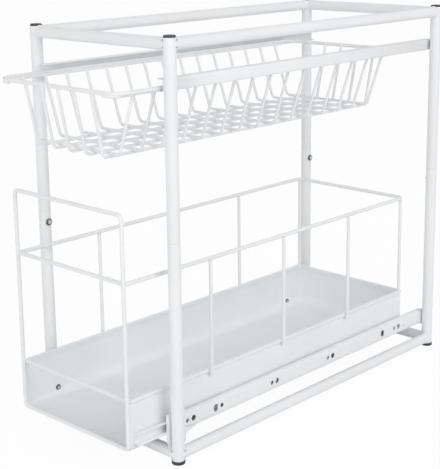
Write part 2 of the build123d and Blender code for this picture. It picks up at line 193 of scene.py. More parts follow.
def cageMaterial():
    # zinc plated sheet, brushed along the slide
    values = cageFinish
    material, tree, shader = newMaterial("cageZinc", values["middle"], values["roughness"], 1.0)
    tint(tree, shader, objectNoise(tree, values["brush"], values["stretch"]), values["dark"], values["light"])
    return material


finishes = {
    "white_coat": coatMaterial("whiteCoat", coatFinish["roughness"]),
    "white_wire": coatMaterial("whiteWire", coatFinish["wireRoughness"]),
    "black_cap": capMaterial(),
    "bright_screw": screwMaterial(),
    "cage_steel": cageMaterial(),
    "inner_sleeve": coatMaterial("innerSleeve", coatFinish["roughness"]),
}
print("materials ready")


# Surfaces: grids of points worked out as whole arrays

def makePiece(node, body, slot, parts, sharp):
    # joins (points, faces) parts into one mesh that stands for a CAD node, with its faces turned outwards
    # and its edges sharp where two faces turn by more than so many degrees
    points = [spots.reshape(-1, 3) for spots, _ in parts]
    starts = np.cumsum([0] + [len(spots) for spots in points]).tolist()
    faces = [[i + start for i in face] for start, (_, polygons) in zip(starts, parts) for face in polygons]
    mesh = bpy.data.meshes.new("w_" + node)
    mesh.from_pydata(np.concatenate(points).tolist(), [], faces)
    mesh.validate()
    form = bmesh.new()
    form.from_mesh(mesh)
    bmesh.ops.recalc_face_normals(form, faces=form.faces)
    form.to_mesh(mesh)
    form.free()
    mesh.shade_smooth()
    mesh.set_sharp_from_angle(angle=math.radians(sharp))
    mesh.materials.append(finishes[slot])
    piece = bpy.data.objects.new("w_" + node, mesh)
    bpy.context.scene.collection.objects.link(piece)
    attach(piece, body)
    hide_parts(node)
    return piece


def gridFaces(rows, columns, closeRows, closeColumns):
    # quads between neighbouring points of a rows x columns grid, joined end to start where asked
    row = np.arange(rows if closeRows else rows - 1)
    column = np.arange(columns if closeColumns else columns - 1)
    r0, c0 = np.meshgrid(row, column, indexing="ij")
    r1, c1 = (r0 + 1) % rows, (c0 + 1) % columns
    corners = [r0 * columns + c0, r0 * columns + c1, r1 * columns + c1, r1 * columns + c0]
    return np.stack(corners, -1).reshape(-1, 4).tolist()


def tubeFaces(rows, columns, closed):
    # the quads round a grid of rings, and a flat face over the first and the last ring unless they are joined
    faces = gridFaces(rows, columns, closed, True)
    if not closed:
        faces.append(list(range(columns))[::-1])
        faces.append(list(range((rows - 1) * columns, rows * columns)))
    return faces


def around(count):
    # even angles round a full turn
    return np.linspace(0, 2 * math.pi, count, endpoint=False)


def unit(steps):
    # each row divided by its own length
    return steps / np.linalg.norm(steps, axis=-1, keepdims=True)


def stepSum(line, closed=False):
    # the unit step that leads to each point plus the one that leaves it; at an open end both are the same
    if closed:
        ahead = np.roll(line, -1, 0) - line
        back = line - np.roll(line, 1, 0)
    else:
        steps = np.diff(line, axis=0)
        ahead = np.concatenate([steps, steps[-1:]])
        back = np.concatenate([steps[:1], steps])
    return unit(ahead) + unit(back)


def arc(centre, radius, start, end):
    # (across, up) points of an arc: centre + radius (cos a, sin a), from one angle to another in degrees
    angle = np.radians(np.linspace(start, end, look["arcSteps"] + 1))
    return np.stack([centre[0] + radius * np.cos(angle), centre[1] + radius * np.sin(angle)], -1).tolist()


def roundedRoute(points, radii, closed=False):
    # centre line of a bent wire: straight runs joined by tangent arcs, where an arc's point is
    # its centre + first * sin((1 - t) turn) / sin turn + last * sin(t turn) / sin turn for t from 0 to 1
    points = np.asarray(points, float)
    count = len(points)
    line = [] if closed else [points[:1]]
    for i in range(count) if closed else range(1, count - 1):
        corner = points[i]
        back = unit(points[i - 1] - corner)
        ahead = unit(points[(i + 1) % count] - corner)
        half = math.acos(float(np.clip(back @ ahead, -1, 1))) / 2
        turn = math.pi - 2 * half
        radius = radii[i if closed else i - 1]
        middle = corner + unit(back + ahead) * radius / math.sin(half)
        first = corner + back * radius / math.tan(half) - middle
        last = corner + ahead * radius / math.tan(half) - middle
        t = np.linspace(0, 1, look["bendSteps"] + 1)[:, None]
        line.append(middle + (first * np.sin((1 - t) * turn) + last * np.sin(t * turn)) / math.sin(turn))
    if not closed:
        line.append(points[-1:])
    return np.concatenate(line)


def wireTube(line, radius, normal, closed=False, endRound=0.0, sides=None):
    # a ring of points round each point of the line: the point + radius (cos a * normal + sin a * side),
    # where side is at right angles to the line and to the normal of the wire's plane
    sides = sides or look["wireSides"]
    line = np.asarray(line, float)
    normal = np.asarray(normal, float)
    radii = np.full(len(line), radius)
    if endRound > 0:
        # rings near both ends, at depth d (1 - cos b) with radius r - d (1 - sin b), for b to a quarter turn
        b = np.linspace(0, math.pi / 2, look["endSteps"] + 1)
        depth = endRound * (1 - np.cos(b))
        shrunk = radius - endRound * (1 - np.sin(b))
        start = line[0] + unit(line[1] - line[0]) * depth[:, None]
        end = line[-1] - unit(line[-1] - line[-2]) * depth[::-1, None]
        line = np.concatenate([start, line[1:-1], end])
        radii = np.concatenate([shrunk, radii[1:-1], shrunk[::-1]])
    aside = np.cross(unit(stepSum(line, closed)), normal)
    angle = around(sides)
    ring = np.cos(angle)[None, :, None] * normal + np.sin(angle)[None, :, None] * aside[:, None, :]
    points = line[:, None, :] + radii[:, None, None] * ring
    return points, tubeFaces(len(line), sides, closed)


def turned(profile, place, axis=(0, 0, 1), sides=None, closed=False):
    # (radius, height) pairs turned about an axis: place + radius (cos a * u + sin a * v) + height * axis,
    # where u and v stand across the axis; a closed profile is that of a tube with a wall
    sides = sides or look["tubeSides"]
    axis = np.asarray(axis, float)
    u = unit(np.cross(axis, (0, 1, 0) if abs(axis[1]) < 0.5 else (1, 0, 0)))
    v = np.cross(axis, u)
    profile = np.asarray(profile, float)
    angle = around(sides)
    ring = np.cos(angle)[:, None] * u + np.sin(angle)[:, None] * v
    points = np.asarray(place) + profile[:, 0, None, None] * ring + profile[:, 1, None, None] * axis
    return points, tubeFaces(len(profile), sides, closed)


def ballPart(place, radius, reach, rows, sides):
    # rings of radius R cos b at height R sin b, for b from -reach to reach
    b = np.linspace(-reach, reach, rows)
    return turned(np.stack([radius * np.cos(b), radius * np.sin(b)], -1), place, sides=sides)


def sideBox(node, side):
    # a side piece's two corners, and the X of its outer and its inner face
    low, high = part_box(node)
    return low, high, *((high.x, low.x) if side == "right" else (low.x, high.x))


# Posts: tubes with a hair of rounding at their cut ends, so that the seam reads as a line

postLook = {"wall": 0.8 * mm, "edge": 0.55 * mm, "sharp": 50}


def makePost(node):
    # a turned wall between two radii, its outer edges rounded by quarter arcs
    low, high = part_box(node)
    centre = (low + high) / 2
    radius = (high.x - low.x) / 2
    bore, edge = radius - postLook["wall"], postLook["edge"]
    profile = [[bore, low.z], *arc((radius - edge, low.z + edge), edge, -90, 0),
               *arc((radius - edge, high.z - edge), edge, 0, 90), [bore, high.z]]
    part = turned(profile, (centre.x, centre.y, 0), closed=True)
    makePiece(node, "frame", "white_coat", [part], postLook["sharp"])
    return centre, radius


posts = {}
for level in ("lower", "upper"):
    for end in ("front", "rear"):
        for side in sideSigns:
            posts[end, side], postRadius = makePost(f"post_{level}_{end}_{side}")
print("posts ready")


# Bars: tubes hollowed to sit on the round posts, mitred where two meet inside a corner, with a weld bead
# round each end that has two gaps on the outer side

barLook = {"wall": 0.8 * mm, "bead": 0.9 * mm, "beadSides": 12, "beadThinShare": 0.8, "pit": 1.6 * mm,
           "pitAngle": 35.0, "pitSpread": 10.0, "sharp": 40}


def makeBar(node, along, across):
    # at angle a round the tube, its end stands in from the post's middle by the larger of y and
    # sqrt(R^2 - y^2), with R the post's radius and y = r cos a towards the inside, and by the pit's depth
    # times e^(-(angle from the pit / spread)^2)
    low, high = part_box(node)
    middle = np.array(low + high) / 2
    radius = (high.z - low.z) / 2
    first, last = posts["front", "left"], posts["rear", "right"]
    half = abs((last - first)[along]) / 2
    middle[along] = (first[along] + last[along]) / 2
    axis, up = np.eye(3)[along], np.eye(3)[2]
    aside = np.eye(3)[across] * (-1 if middle[across] > 0 else 1)
    angle = around(look["tubeSides"])
    pits = np.exp(-((np.abs(np.degrees(angle) - 180) - barLook["pitAngle"]) / barLook["pitSpread"]) ** 2)
    rings = []
    for r in (radius, radius - barLook["wall"]):
        y = r * np.cos(angle)
        saddle = np.maximum(y, np.sqrt(np.maximum(postRadius ** 2 - y ** 2, 0)))
        reach = half - saddle - barLook["pit"] * pits
        cross = r * (np.cos(angle)[:, None] * aside + np.sin(angle)[:, None] * up)
        ends = [middle + cross + sign * reach[:, None] * axis for sign in (-1, 1)]
        rings += ends[::-1] if rings else ends
    bead = barLook["bead"] * (1 - barLook["beadThinShare"] * pits)
    beads = [wireTube(ring, bead, axis, closed=True, sides=barLook["beadSides"]) for ring in rings[:2]]
    tube = (np.stack(rings), tubeFaces(len(rings), len(angle), True))
    makePiece(node, "frame", "white_coat", [tube, *beads], barLook["sharp"])


for level in ("top", "bottom"):
    for end in ("front", "rear"):
        makeBar(f"{level}_bar_{end}", 0, 1)
    for side in sideSigns:
        makeBar(f"{level}_bar_{side}", 1, 0)
print("bars ready")


# Caps and feet: moulded discs with softened rims, their plugs inside the posts

capLook = {"flange": -0.3 * mm, "thickness": 2.0 * mm, "edge": 1.0 * mm,  # flange: past the post's radius
           "plug": 7.0 * mm, "plugPlay": 0.1 * mm, "sharp": 40}
footLook = {"flange": 0.5 * mm, "thickness": 3.0 * mm, "edge": 0.4 * mm,
            "plug": 7.0 * mm, "plugPlay": 0.1 * mm, "sharp": 40}


def makeDiscs(node, values, out):
    # one turned disc per post, from the plug's end to the outer face: upwards where out is 1, else downwards
    low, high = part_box(node)
    face = high.z if out > 0 else low.z
    base = face - out * values["thickness"]
    radius = postRadius + values["flange"]
    bore = postRadius - postLook["wall"] - values["plugPlay"]
    edge = values["edge"]
    profile = [[bore, base - out * values["plug"]], [bore, base], [radius, base],
               *arc((radius - edge, face - out * edge), edge, 0, 90 * out), [radius / 2, face]]
    parts = [turned(profile, (post.x, post.y, 0)) for post in posts.values()]
    makePiece(node, "frame", "black_cap", parts, values["sharp"])


makeDiscs("post_caps", capLook, 1)
makeDiscs("post_feet", footLook, -1)
print("caps and feet ready")


# Screws: domed heads, lower ones on the right posts

headLook = {"domeSteps": 8, "sides": 32, "footShare": 0.96, "sharp": 40}
lockLook = {"left": {"radius": 3.6 * mm, "rim": 0.6 * mm, "dome": 1.6 * mm},
            "right": {"radius": 2.2 * mm, "rim": 0.15 * mm, "dome": 0.45 * mm}}


def domedHead(place, axis, radius, rim, dome):
    # a short rim, then rings of radius R cos b at height rim + dome * sin b
    b = np.linspace(0, math.pi / 2, headLook["domeSteps"] + 1)[:-1]
    crown = np.stack([radius * np.cos(b), rim + dome * np.sin(b)], -1).tolist()
    profile = [[radius / 2, 0.0], [radius * headLook["footShare"], 0.0]] + crown
    return turned(profile, place, axis, headLook["sides"])


def makeHeads(node, body, heads):
    # one domed head for each (place, axis, size); the attribute, 1 - distance from the axis / radius, places
    # the painted highlight at the crown and the painted dark rim
    parts, paintedReflectionShares = [], []
    for place, axis, size in heads:
        axis = np.asarray(axis, float)
        parts.append(domedHead(place, axis, **size))
        away = parts[-1][0].reshape(-1, 3) - np.asarray(place)
        away -= (away @ axis)[:, None] * axis
        paintedReflectionShares.append(1 - np.linalg.norm(away, axis=1) / size["radius"])
    piece = makePiece(node, body, "bright_screw", parts, headLook["sharp"])
    layer = piece.data.attributes.new("crown", "FLOAT", "POINT")
    layer.data.foreach_set("value", np.concatenate(paintedReflectionShares))


def makeLockScrews():
    # on the posts' inner sides
    node = "post_lock_screws"
    low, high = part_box(node)
    heads = []
    for (_, side), post in posts.items():
        sign = sideSigns[side]
        place = (post.x - sign * postRadius, post.y, (low.z + high.z) / 2)
        heads.append((place, (-sign, 0, 0), lockLook[side]))
    makeHeads(node, "frame", heads)


makeLockScrews()
print("lock screws ready")


# Sheet metal: bent strips whose section is carried along Y, and flat plates with holes

def stripOutline(line, thickness, radii):
    # the strip's centre line in the section's plane, moved half a thickness to both sides along its normal,
    # divided by the cosine of half the turn where it turns
    route = roundedRoute([(a, 0, b) for a, b in line], radii)
    along = stepSum(route)
    along *= 2 / (along ** 2).sum(1, keepdims=True)
    normal = np.stack([-along[:, 2], along[:, 1], along[:, 0]], -1) * thickness / 2
    return np.concatenate([route + normal, (route - normal)[::-1]])


def stripPart(outline, start, end):
    # rings of the outline along Y, the first and the last drawn in a little, so that cut edges catch light
    edge = look["cutEdge"]
    half = len(outline) // 2
    middle = (outline + outline[::-1]) / 2
    thick = np.linalg.norm(outline[0] - outline[-1]) / 2
    rings = []
    for y, inset in ((start, edge), (start + edge, 0.0), (end - edge, 0.0), (end, edge)):
        ring = outline + (middle - outline) * inset / thick
        ring[:, 1] = y
        rings.append(ring)
    points = np.stack(rings)
    rows, columns = points.shape[:2]
    faces = gridFaces(rows, columns, False, True)
    for i in range(half - 1):
        quad = [i, i + 1, columns - 2 - i, columns - 1 - i]
        faces += [quad[::-1], [q + (rows - 1) * columns for q in quad]]
    return points, faces


def platePart(outline, holes, axis, start, end):
    # a flat outline in one axis and Z, with holes in it, carried from start to end along the other, X or Y
    loops = [np.asarray(loop, float) for loop in (outline, *holes)]
    flat = np.concatenate(loops)
    count = len(flat)
    triangles = tessellate_polygon([[Vector((*p, 0)) for p in loop] for loop in loops])
    sheets = []
    for place in (start, end):
        level = np.full(count, place)
        sheets.append(np.stack([level, *flat.T] if axis == 0 else [flat[:, 0], level, flat[:, 1]], -1))
    faces = [list(t) for t in triangles] + [[i + count for i in t][::-1] for t in triangles]
    first = 0
    for loop in loops:
        i = np.arange(len(loop)) + first
        j = np.roll(i, -1)
        faces += np.stack([i, j, j + count, i + count], -1).tolist()
        first += len(loop)
    return np.stack(sheets), faces


# Basket rails: C channels, open inwards

railLook = {"sheet": 1.0 * mm, "bend": 1.2 * mm, "lipPlay": 0.3 * mm, "sharp": 50}  # play: to a side wire


def makeRail(side):
    # the section: an upper lip of full width, the web, and a lower lip that stops beside the side wire
    node = f"basket_rail_{side}"
    low, high, outer, inner = sideBox(node, side)
    sign = sideSigns[side]
    half = railLook["sheet"] / 2
    web = outer - sign * half
    lip = sideBox(f"basket_runner_{side}", side)[2] + sign * railLook["lipPlay"]
    line = [(inner, high.z - half), (web, high.z - half), (web, low.z + half), (lip, low.z + half)]
    outline = stripOutline(line, railLook["sheet"], [railLook["bend"]] * 2)
    makePiece(node, "frame", "white_coat", [stripPart(outline, low.y, high.y)], railLook["sharp"])


for side in sideSigns:
    makeRail(side)
print("rails ready")


# Basket: rim, side wires, U-shaped cross wires and lengthwise wires

basketLook = {"rimCorner": 14.0 * mm, "wire": 3.0 * mm, "bend": 5.5 * mm, "wireEnd": 0.6 * mm,
              "sideLean": 19.0, "frontLean": 11.0, "rearLean": 14.0,  # degrees from upright
              "crossCount": 15, "longCount": 5, "rise": 1.0 * mm,     # rise: past the wire they are welded to
              "weldSink": 0.35 * mm, "blob": 1.6 * mm}
blobLook = {"reach": 1.2, "rows": 6, "sides": 10}  # reach: radians up and down from the ball's middle
# lowEnd: from the node's front end to where the wire begins to rise
runnerLook = {"lowEnd": 18.0 * mm, "rise": 18.0 * mm, "bend": 40.0 * mm, "lift": 0.9 * mm, "corner": 9.0 * mm,
              "turnIn": 14.0 * mm}  # how far the front ends turn in under the rim's front run


def ringWire(node, body, corners, across=2):
    # a closed rectangle of wire in the plane across an axis, with one corner radius each from its low left on
    low, high = (np.array(corner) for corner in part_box(node))
    r = (high[across] - low[across]) / 2
    low, high, other = low + r, high - r, 3 - across
    route = np.tile((low + high) / 2, (4, 1))
    route[:, 0] = [low[0], high[0], high[0], low[0]]
    route[:, other] = [low[other], low[other], high[other], high[other]]
    line = roundedRoute(route, corners, closed=True)
    part = wireTube(line, r, np.eye(3)[across], closed=True)
    makePiece(node, body, "white_wire", [part], look["wireSharp"])


def makeRunner(side):
    # along the lip, down under the rim's front corner and round it
    node = f"basket_runner_{side}"
    values = runnerLook
    low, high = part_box(node)
    rimLow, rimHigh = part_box("basket_rim")
    r, x = (high.x - low.x) / 2, (high.x + low.x) / 2
    front = rimLow.y + (rimHigh.z - rimLow.z) / 2
    start = low.y + values["lowEnd"]
    under, level = low.z + r + values["lift"], high.z - r
    route = [(x - sideSigns[side] * values["turnIn"], front, under), (x, front, under), (x, start, under),
             (x, start + values["rise"], level), (x, high.y, level)]
    line = roundedRoute(route, [values["corner"], values["bend"], values["bend"]])
    part = wireTube(line, r, (0, 0, 1), endRound=basketLook["wireEnd"])
    makePiece(node, "basket", "white_wire", [part], look["wireSharp"])


def makeCrossWires():
    # U shapes across the basket: each leg stands in from a side wire by the two radii less the weld's sink,
    # over the cosine of its lean, and comes in by the lean's tangent on its way down
    node = "basket_cross_wires"
    values = basketLook
    low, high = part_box(node)
    sideLow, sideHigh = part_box("basket_runner_right")
    r, sideR = values["wire"] / 2, (sideHigh.x - sideLow.x) / 2
    sideX, sideZ = sideHigh.x - sideR, sideHigh.z - sideR
    lean = math.radians(values["sideLean"])
    atSide = sideX - (sideR + r - values["weldSink"]) / math.cos(lean)
    floorZ, topZ = low.z + r, sideZ + values["rise"]
    floorX = atSide - (sideZ - floorZ) * math.tan(lean)
    topX = atSide + values["rise"] * math.tan(lean)
    parts = []
    for y in np.linspace(low.y + r, high.y - r, values["crossCount"]):
        route = [(-topX, y, topZ), (-floorX, y, floorZ), (floorX, y, floorZ), (topX, y, topZ)]
        line = roundedRoute(route, [values["bend"]] * 2)
        parts.append(wireTube(line, r, (0, 1, 0), endRound=values["wireEnd"]))
        for sign in (-1, 1):
            parts.append(ballPart((sign * (atSide + sideX) / 2, y, sideZ), values["blob"], **blobLook))
    makePiece(node, "basket", "white_wire", parts, look["wireSharp"])


def makeLongWires():
    # the same along the basket, welded inside the rim's front and rear runs
    node = "basket_long_wires"
    values = basketLook
    low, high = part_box(node)
    rimLow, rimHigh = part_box("basket_rim")
    r, rimR = values["wire"] / 2, (rimHigh.z - rimLow.z) / 2
    rimZ, floorZ = rimLow.z + rimR, low.z + r
    topZ = rimZ + values["rise"]
    stand = rimR + r - values["weldSink"]
    frontLean, rearLean = math.radians(values["frontLean"]), math.radians(values["rearLean"])
    front = rimLow.y + rimR + stand / math.cos(frontLean)
    rear = rimHigh.y - rimR - stand / math.cos(rearLean)
    parts = []
    for x in np.linspace(low.x + r, high.x - r, values["longCount"]):
        route = [(x, front - values["rise"] * math.tan(frontLean), topZ),
                 (x, front + (rimZ - floorZ) * math.tan(frontLean), floorZ),
                 (x, rear - (rimZ - floorZ) * math.tan(rearLean), floorZ),
                 (x, rear + values["rise"] * math.tan(rearLean), topZ)]
        line = roundedRoute(route, [values["bend"]] * 2)
        parts.append(wireTube(line, r, (1, 0, 0), endRound=values["wireEnd"]))
        for y in (front - r / 2, rear + r / 2):
            parts.append(ballPart((x, y, rimZ), values["blob"], **blobLook))
    makePiece(node, "basket", "white_wire", parts, look["wireSharp"])


ringWire("basket_rim", "basket", [basketLook["rimCorner"]] * 4)
for side in sideSigns:
    makeRunner(side)
makeCrossWires()
makeLongWires()
print("basket ready")


# Drawer wires: tray rim, fence ring, front loop and uprights

# the rises are those of the uprights above the ring's underside
drawerLook = {"rimCorner": 4.0 * mm, "ringFront": 4.0 * mm, "ringRear": 7.0 * mm, "loopFoot": 4.0 * mm,
              "loopTop": 5.0 * mm, "wireEnd": 0.5 * mm, "upright": 3.6 * mm, "uprightRise": 1.3 * mm,
              "cornerRise": 0.35 * mm, "uprightShares": (0.2465, 0.4977, 0.7488)}  # of the tray's length


def makeUprights(side):
    # three uprights that end in the ring, and one in its rear corner
    node = f"drawer_uprights_{side}"
    values = drawerLook
    low, high, outer, _ = sideBox(node, side)
    trayLow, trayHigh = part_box("drawer_tray")
    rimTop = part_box("drawer_tray_rim")[1].z
    ringLow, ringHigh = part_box("drawer_fence_ring")
    sign = sideSigns[side]
    r, ringR = values["upright"] / 2, (ringHigh.z - ringLow.z) / 2
    inset = ringR + values["ringRear"] * (1 - math.cos(math.pi / 4))
    stands = [(outer - sign * r, trayLow.y + share * (trayHigh.y - trayLow.y), low.z, values["uprightRise"])
              for share in values["uprightShares"]]
    stands.append((sign * (ringHigh.x - inset), ringHigh.y - inset, rimTop - ringR / 2, values["cornerRise"]))
    parts = [wireTube([(x, y, foot), (x, y, ringLow.z + rise)], r, (0, 1, 0), endRound=values["wireEnd"])
             for x, y, foot, rise in stands]
    makePiece(node, "drawer", "white_wire", parts, look["wireSharp"])


ringWire("drawer_tray_rim", "drawer", [drawerLook["rimCorner"]] * 4)
ringWire("drawer_fence_ring", "drawer", [drawerLook["ringFront"]] * 2 + [drawerLook["ringRear"]] * 2)
ringWire("drawer_front_loop", "drawer", [drawerLook["loopFoot"]] * 2 + [drawerLook["loopTop"]] * 2, across=1)
for side in sideSigns:
    makeUprights(side)
print("drawer wires ready")


# Drawer tray: soft folds inside, and walls that step in at the top to stand inside the rim wire

# underTop runs down from the rim wire's top to the sheet's edge, and stepStart from that edge
trayLook = {"sheet": 1.0 * mm, "fold": 10.0 * mm, "frontFold": 3.0 * mm, "foldRun": 60.0 * mm,
            "outerFold": 3.0 * mm, "corner": 3.0 * mm, "leastCorner": 0.05 * mm,
            "underTop": 0.3 * mm, "stepStart": 1.75 * mm, "stepRun": 5.0 * mm, "stepIn": 1.8 * mm,
            "levels": 14, "lengths": 40, "cornerSteps": 8,
            "edge": 0.25 * mm, "edgeSteps": 2, "edgeAngle": 60, "sharp": 35}
trayHead = {"radius": 3.0 * mm, "rim": 0.4 * mm, "dome": 0.9 * mm}


def smoothStep(t):
    # 3 t^2 - 2 t^3 between 0 and 1
    t = np.clip(t, 0, 1)
    return t * t * (3 - 2 * t)


def trayShell(low, high, top, skin, fold, frontFold):
    # rows of points round the open U, from the top edge down the wall and along the fold to the floor:
    # at angle b the fold stands in by R (1 - cos b) and lies R sin b under its start, and R grows backwards
    values = trayLook
    levels, cornerSteps = values["levels"], values["cornerSteps"]
    run = np.linspace(0, 1, values["lengths"]) ** 2
    turn = np.linspace(0, math.pi / 2, cornerSteps + 1)[1:]
    rows = []
    for k in range(2 * levels):
        wall = min(k / levels, 1.0)
        b = math.pi / 2 * max((k + 1 - levels) / levels, 0.0)
        inset = fold * (1 - math.cos(b))
        corner = values["corner"] + (max(fold, values["corner"]) - values["corner"]) * wall
        corner = max(corner - inset, values["leastCorner"])
        down = wall * (top - low.z - fold)
        step = values["stepIn"] * (1 - smoothStep((down - values["stepStart"]) / values["stepRun"]))
        rear = high.y - skin - step - inset
        y = low.y + (rear - corner - low.y) * run
        radius = frontFold + (fold - frontFold) * smoothStep((y - low.y) / values["foldRun"])
        x = high.x - skin - step - radius * (1 - math.cos(b))
        z = top + (low.z + skin + radius - top) * wall - radius * math.sin(b)
        half = np.stack([np.concatenate([x, x[-1] - corner * (1 - np.cos(turn))]),
                         np.concatenate([y, y[-1] + corner * np.sin(turn)]),
                         np.concatenate([z, np.full(cornerSteps, z[-1])])], -1)
        rows.append(np.concatenate([half * (-1, 1, 1), half[::-1]]))
    return np.stack(rows)


def makeTray():
    # the outer skin from the floor up, then the inner one from the top down, closed at the front
    values = trayLook
    low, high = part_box("drawer_tray")
    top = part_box("drawer_tray_rim")[1].z - values["underTop"]
    outer = trayShell(low, high, top, 0.0, values["outerFold"], values["outerFold"])
    inner = trayShell(low, high, top, values["sheet"], values["fold"], values["frontFold"])
    points = np.concatenate([outer[::-1], inner])
    rows, columns = points.shape[:2]
    faces = gridFaces(rows, columns, False, False)
    last = columns - 1
    for k in range(rows // 2 - 1):
        edge = [i * columns for i in (k, k + 1, rows - 2 - k, rows - 1 - k)]
        faces += [edge, [i + last for i in edge]]
    faces.append([0, last, (rows - 1) * columns + last, (rows - 1) * columns])
    for row in (0, rows - 1):
        for i in range(columns // 2 - 1):
            faces.append([row * columns + j for j in (i, i + 1, last - i - 1, last - i)])
    tray = makePiece("drawer_tray", "drawer", "white_coat", [(points, faces)], values["sharp"])
    bevel = tray.modifiers.new("cutEdges", "BEVEL")
    bevel.width = values["edge"]
    bevel.segments = values["edgeSteps"]
    bevel.limit_method = "ANGLE"
    bevel.angle_limit = math.radians(values["edgeAngle"])
    bevel.use_clamp_overlap = True


def makeTrayScrews():
    # on the inner faces of the tray's walls
    node = "drawer_screws"
    low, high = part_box(node)
    heads = []
    for side, sign in sideSigns.items():
        face = sideBox("drawer_tray", side)[2] - sign * trayLook["sheet"]
        for y in (low.y + trayHead["radius"], high.y - trayHead["radius"]):
            heads.append(((face, y, (low.z + high.z) / 2), (-sign, 0, 0), trayHead))
    makeHeads(node, "drawer", heads)


makeTray()
makeTrayScrews()
print("tray ready")


# Slides: bent strips along Y, the outer members' middle band with its holes, and the balls

slideLook = {"sheet": 1.0 * mm, "step": 0.5 * mm, "band": 10.8 * mm, "bend": 1.3 * mm, "stepBend": 0.7 * mm,
             "outerLip": 0.9 * mm, "lipBend": 0.7 * mm, "plate": 8.2 * mm, "sharp": 40,  # plate: with holes
             "small": 2.25 * mm, "large": 3.0 * mm, "ovalRise": 1.0 * mm, "holeSteps": 28,
             "smallShares": (-0.452, -0.337, -0.156, 0.066, 0.362, 0.402),  # of the length, from the middle
             "largeShares": (-0.432, -0.137, 0.086, 0.383), "ovalShares": (-0.358, 0.307),
             "balls": 3}  # in each race
innerLook = {"sheet": 1.0 * mm, "bend": 1.3 * mm, "lip": 0.6 * mm, "lipInset": 0.3 * mm, "lipBend": 0.5 * mm,
             "sharp": 45}
ballLook = {"reach": 1.4, "rows": 15, "sides": 24}


def holeLoop(y, z, radius, rise):
    # centre + radius (cos a, sin a), the upper half moved up and the lower one down by the rise
    count = slideLook["holeSteps"]
    a = around(count)
    half = np.where(np.arange(count) < count / 2, rise, -rise)
    return np.stack([y + radius * np.cos(a), z + radius * np.sin(a) + half], -1)


def makeOuterMember(side):
    # an upper and a lower strip, each with a lip, a flange and a step, and the plate with holes between them
    node = f"slide_outer_{side}"
    values = slideLook
    low, high, face, inner = sideBox(node, side)
    sign = sideSigns[side]
    t, band, flange = values["sheet"], values["band"] / 2, abs(face - inner)
    middle, half, plate = (low.z + high.z) / 2, (high.z - low.z) / 2, values["plate"] / 2
    bends = [values["lipBend"], values["bend"], values["stepBend"], values["stepBend"] / 2]
    section = [(flange - t / 2, half - t - values["outerLip"]), (flange - t / 2, half - t / 2),
               (values["step"] + t / 2, half - t / 2), (values["step"] + t / 2, band),
               (t / 2, band - values["step"]), (t / 2, plate)]
    parts = []
    for up in (-1, 1):
        line = [(face - sign * depth, middle + up * height) for depth, height in section]
        parts.append(stripPart(stripOutline(line, t, bends), low.y, high.y))
    centre, length = (high.y + low.y) / 2, high.y - low.y
    kinds = (("small", 0, "smallShares"), ("large", 0, "largeShares"),
             ("large", values["ovalRise"], "ovalShares"))
    holes = [holeLoop(centre + share * length, middle, values[size], rise)
             for size, rise, shares in kinds for share in values[shares]]
    outline = [(y, middle + up * plate) for y, up in ((low.y, -1), (high.y, -1), (high.y, 1), (low.y, 1))]
    parts.append(platePart(outline, holes, 0, face, face - sign * t))
    makePiece(node, "frame", "white_coat", parts, values["sharp"])


def makeInnerMember(side):
    # a C section: its web by the drawer, its two lips outwards
    node = f"slide_inner_{side}"
    values = innerLook
    low, high, outer, inner = sideBox(node, side)
    sign = sideSigns[side]
    t, middle, half = values["sheet"], (low.z + high.z) / 2, (high.z - low.z) / 2
    lip, web = outer - sign * values["lipInset"], inner + sign * t / 2
    flange = half - values["lip"] - t / 2
    line = [(lip, middle + half), (lip, middle + flange), (web, middle + flange),
            (web, middle - flange), (lip, middle - flange), (lip, middle - half)]
    outline = stripOutline(line, t, [values["lipBend"], values["bend"], values["bend"], values["lipBend"]])
    makePiece(node, "drawer", "white_coat", [stripPart(outline, low.y, high.y)], values["sharp"])


def makeBalls(side):
    # at both ends and in the middle of both races
    node = f"slide_balls_{side}"
    low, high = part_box(node)
    radius = (high.x - low.x) / 2
    parts = [ballPart(((low.x + high.x) / 2, y, z), radius, **ballLook)
             for y in np.linspace(low.y + radius, high.y - radius, slideLook["balls"])
             for z in (low.z + radius, high.z - radius)]
    makePiece(node, f"cage_{side}", "bright_screw", parts, look["wireSharp"])


for side in sideSigns:
    makeOuterMember(side)
    makeInnerMember(side)
    makeBalls(side)
print("slides ready")


# Slide brackets: plates with a turned lip; the front ones reach under the slide in a hollow curve

bracketLook = {"sheet": 1.0 * mm, "corner": 1.5 * mm, "rearCut": 5.0 * mm, "width": 22.0 * mm,
               "lip": 3.2 * mm, "strut": 14.0 * mm, "strutSteps": 11, "sharp": 40,
               "lipDrop": 6.5 * mm, "strutDrop": 5.5 * mm,   # below the slide's underside
               "tipRise": 1.5 * mm, "foldRise": 3.0 * mm}    # above it


def makeBracket(node, outline, lipFaces, lipHeights, lipDepths):
    # a plate in the YZ plane, and its lip: a plate in the XZ plane
    outer, inner = lipFaces
    bottom, top = lipHeights
    plateInner = outer + math.copysign(bracketLook["sheet"], inner - outer)
    plate = platePart(outline, (), 0, outer, plateInner)
    square = [(inner, bottom), (outer, bottom), (outer, top), (inner, top)]
    lip = platePart(square, (), 1, *lipDepths)
    makePiece(node, "frame", "white_coat", [plate, lip], bracketLook["sharp"])


def makeRearBracket(side):
    # a plate that is square at the back and has round front corners, with its lip across the back
    node = f"slide_bracket_rear_{side}"
    values = bracketLook
    low, high, outer, inner = sideBox(node, side)
    c, back = values["corner"], high.y - values["sheet"]
    front = low.y + values["rearCut"] + c
    outline = [(back, low.z), (back, high.z), *arc((front, high.z - c), c, 90, 180),
               *arc((front, low.z + c), c, 180, 270)]
    makeBracket(node, outline, (outer, inner), (low.z, high.z), (back, high.y))


